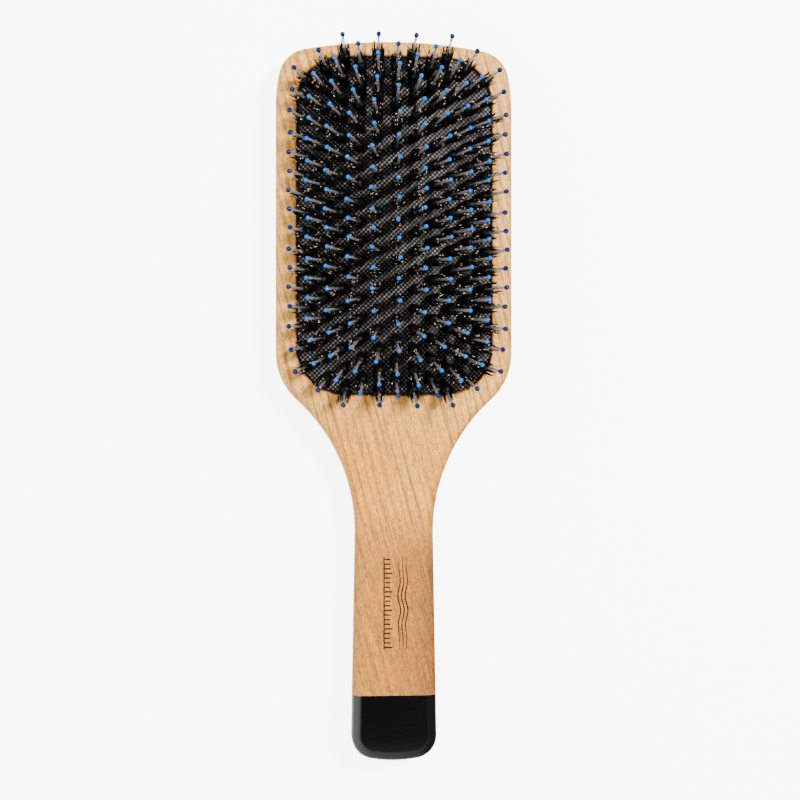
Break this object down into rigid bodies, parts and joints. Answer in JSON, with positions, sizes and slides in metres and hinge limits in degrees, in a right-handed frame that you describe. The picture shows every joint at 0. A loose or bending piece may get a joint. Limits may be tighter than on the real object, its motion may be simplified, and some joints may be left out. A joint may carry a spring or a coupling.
{
  "type": "paddle hairbrush",
  "caption": "Paddle hairbrush: flat wooden board with a lacquered handle end and a domed air cushion set with ball-tipped nylon pins, each standing in a tuft of bristle.",
  "frame": {"origin": "centre of the bounding box on the plane of the board's flat back", "axes": "+Y along the brush from the handle's end to the head, +X to the right seen from the pin side with the head up, +Z out of the face along the pins"},
  "size_m": [0.0822, 0.25, 0.0395],
  "materials": {
    "beech": "satin, fine lengthwise grain",
    "lacquer": "high gloss black lacquer coat",
    "ink": "matt black printed ink",
    "rubber": "matt, finely textured",
    "nylon": "translucent grey nylon",
    "blue_tip": "glossy beads",
    "bristle": "natural bristle, dark with pale flagged ends",
    "wire": "bright drawn wire"
  },
  "bodies": {
    "board": {"wooden_board": "beech", "handle_dip": "lacquer", "handle_print": "ink", "cushion_pad": "rubber"},
    "pins_crown": {"pin_shafts_crown": "nylon", "ball_tips_crown": "blue_tip", "bristle_tufts_crown": "bristle", "root_bands_crown": "wire"},
    "pins_inner": {"pin_shafts_inner": "nylon", "ball_tips_inner": "blue_tip", "bristle_tufts_inner": "bristle", "root_bands_inner": "wire"},
    "pins_middle": {"pin_shafts_middle": "nylon", "ball_tips_middle": "blue_tip", "bristle_tufts_middle": "bristle", "root_bands_middle": "wire"},
    "pins_outer": {"pin_shafts_outer": "nylon", "ball_tips_outer": "blue_tip", "bristle_tufts_outer": "bristle", "root_bands_outer": "wire"},
    "pins_rim": {"pin_shafts_rim": "nylon", "ball_tips_rim": "blue_tip", "bristle_tufts_rim": "bristle", "root_bands_rim": "wire"}
  },
  "joints": [
    {"name": "cushion_press", "type": "slide", "parent": "board", "child": "pins_crown", "axis": [0, 0, -1], "range_m": [0, 0.0038], "stiffness_N_per_m": 900, "springref_m": -0.0015, "deforming": ["cushion_pad"]},
    {"name": "cushion_press_inner", "type": "slide", "parent": "board", "child": "pins_inner", "axis": [0, 0, -1], "range_m": [0, 0.00314], "stiffness_N_per_m": 600, "springref_m": -0.0015},
    {"name": "cushion_press_middle", "type": "slide", "parent": "board", "child": "pins_middle", "axis": [0, 0, -1], "range_m": [0, 0.00236], "stiffness_N_per_m": 600, "springref_m": -0.0015},
    {"name": "cushion_press_outer", "type": "slide", "parent": "board", "child": "pins_outer", "axis": [0, 0, -1], "range_m": [0, 0.00157], "stiffness_N_per_m": 600, "springref_m": -0.0015},
    {"name": "cushion_press_rim", "type": "slide", "parent": "board", "child": "pins_rim", "axis": [0, 0, -1], "range_m": [0, 0.00109], "stiffness_N_per_m": 600, "springref_m": -0.0015}
  ],
  "couplings": [
    {"joint": "cushion_press_inner", "follows": "cushion_press", "ratio": 0.8211},
    {"joint": "cushion_press_middle", "follows": "cushion_press", "ratio": 0.6161},
    {"joint": "cushion_press_outer", "follows": "cushion_press", "ratio": 0.4077},
    {"joint": "cushion_press_rim", "follows": "cushion_press", "ratio": 0.2805}
  ]
}
